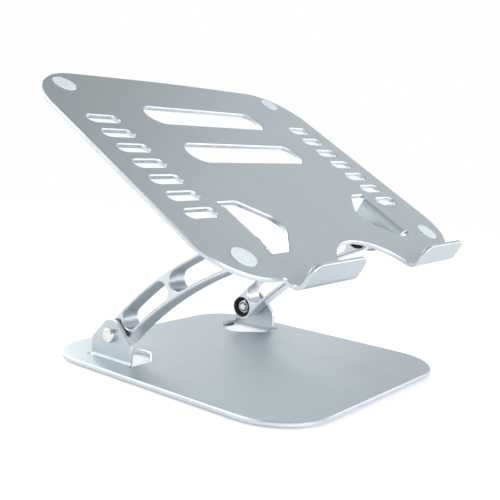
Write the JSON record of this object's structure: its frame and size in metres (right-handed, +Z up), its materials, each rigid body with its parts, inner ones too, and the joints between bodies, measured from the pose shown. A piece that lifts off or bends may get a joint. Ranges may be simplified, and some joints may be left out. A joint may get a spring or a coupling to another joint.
{
  "type": "laptop stand",
  "caption": "folding laptop stand: flat base plate, bowed window arms on friction pivots, vented tilting tray with front hooks and a finger notch",
  "frame": {"origin": "on the desk, under the middle of the stand's bounding box", "axes": "+Z up, +X to the right of a person who faces the stand's front, +Y away from that person, towards the back edge of the base"},
  "size_m": [0.28, 0.2383, 0.2075],
  "materials": {
    "anodised_sheet": "fine bead-blasted satin anodising with bright cut edges",
    "anodised_arm": "satin anodising with bright chamfers",
    "polished_steel": "turned and polished, rounded rim",
    "nut_steel": "zinc plated",
    "dark_steel": "blackened spring steel",
    "acetal": "smooth moulded",
    "nylon": "smooth moulded",
    "silicone": "matt, slightly grippy",
    "foot_rubber": "matt"
  },
  "bodies": {
    "base": {"base_plate": "anodised_sheet", "left_front_foot": "foot_rubber", "left_back_foot": "foot_rubber", "right_front_foot": "foot_rubber", "right_back_foot": "foot_rubber", "left_lower_bolt": "polished_steel", "left_lower_friction_washer": "acetal", "left_lower_outer_spring": "dark_steel", "left_lower_inner_spring": "dark_steel", "left_lower_flat_washer": "dark_steel", "left_lower_nut": "nut_steel", "left_lower_nylon_ring": "nylon", "right_lower_bolt": "polished_steel", "right_lower_friction_washer": "acetal", "right_lower_outer_spring": "dark_steel", "right_lower_inner_spring": "dark_steel", "right_lower_flat_washer": "dark_steel", "right_lower_nut": "nut_steel", "right_lower_nylon_ring": "nylon"},
    "left_arm": {"left_arm": "anodised_arm"},
    "right_arm": {"right_arm": "anodised_arm"},
    "tray": {"tray_plate": "anodised_sheet", "left_front_tray_pad": "silicone", "left_back_tray_pad": "silicone", "right_front_tray_pad": "silicone", "right_back_tray_pad": "silicone", "left_lip_pad": "silicone", "right_lip_pad": "silicone", "left_upper_bolt": "polished_steel", "left_upper_friction_washer": "acetal", "left_upper_outer_spring": "dark_steel", "left_upper_inner_spring": "dark_steel", "left_upper_flat_washer": "dark_steel", "left_upper_nut": "nut_steel", "left_upper_nylon_ring": "nylon", "right_upper_bolt": "polished_steel", "right_upper_friction_washer": "acetal", "right_upper_outer_spring": "dark_steel", "right_upper_inner_spring": "dark_steel", "right_upper_flat_washer": "dark_steel", "right_upper_nut": "nut_steel", "right_upper_nylon_ring": "nylon"}
  },
  "joints": [
    {"name": "left_base_hinge", "type": "hinge", "parent": "base", "child": "left_arm", "pos_m": [-0.0715, 0.06324, 0.0227], "axis": [-1, 0, 0], "range_deg": [-15, 50]},
    {"name": "right_base_hinge", "type": "hinge", "parent": "base", "child": "right_arm", "pos_m": [0.0715, 0.06324, 0.0227], "axis": [-1, 0, 0], "range_deg": [-15, 50]},
    {"name": "tray_hinge", "type": "hinge", "parent": "left_arm", "child": "tray", "pos_m": [-0.0715, -0.0477, 0.09697], "axis": [1, 0, 0], "range_deg": [-35, 30]}
  ],
  "couplings": [
    {"joint": "right_base_hinge", "follows": "left_base_hinge", "ratio": 1}
  ]
}
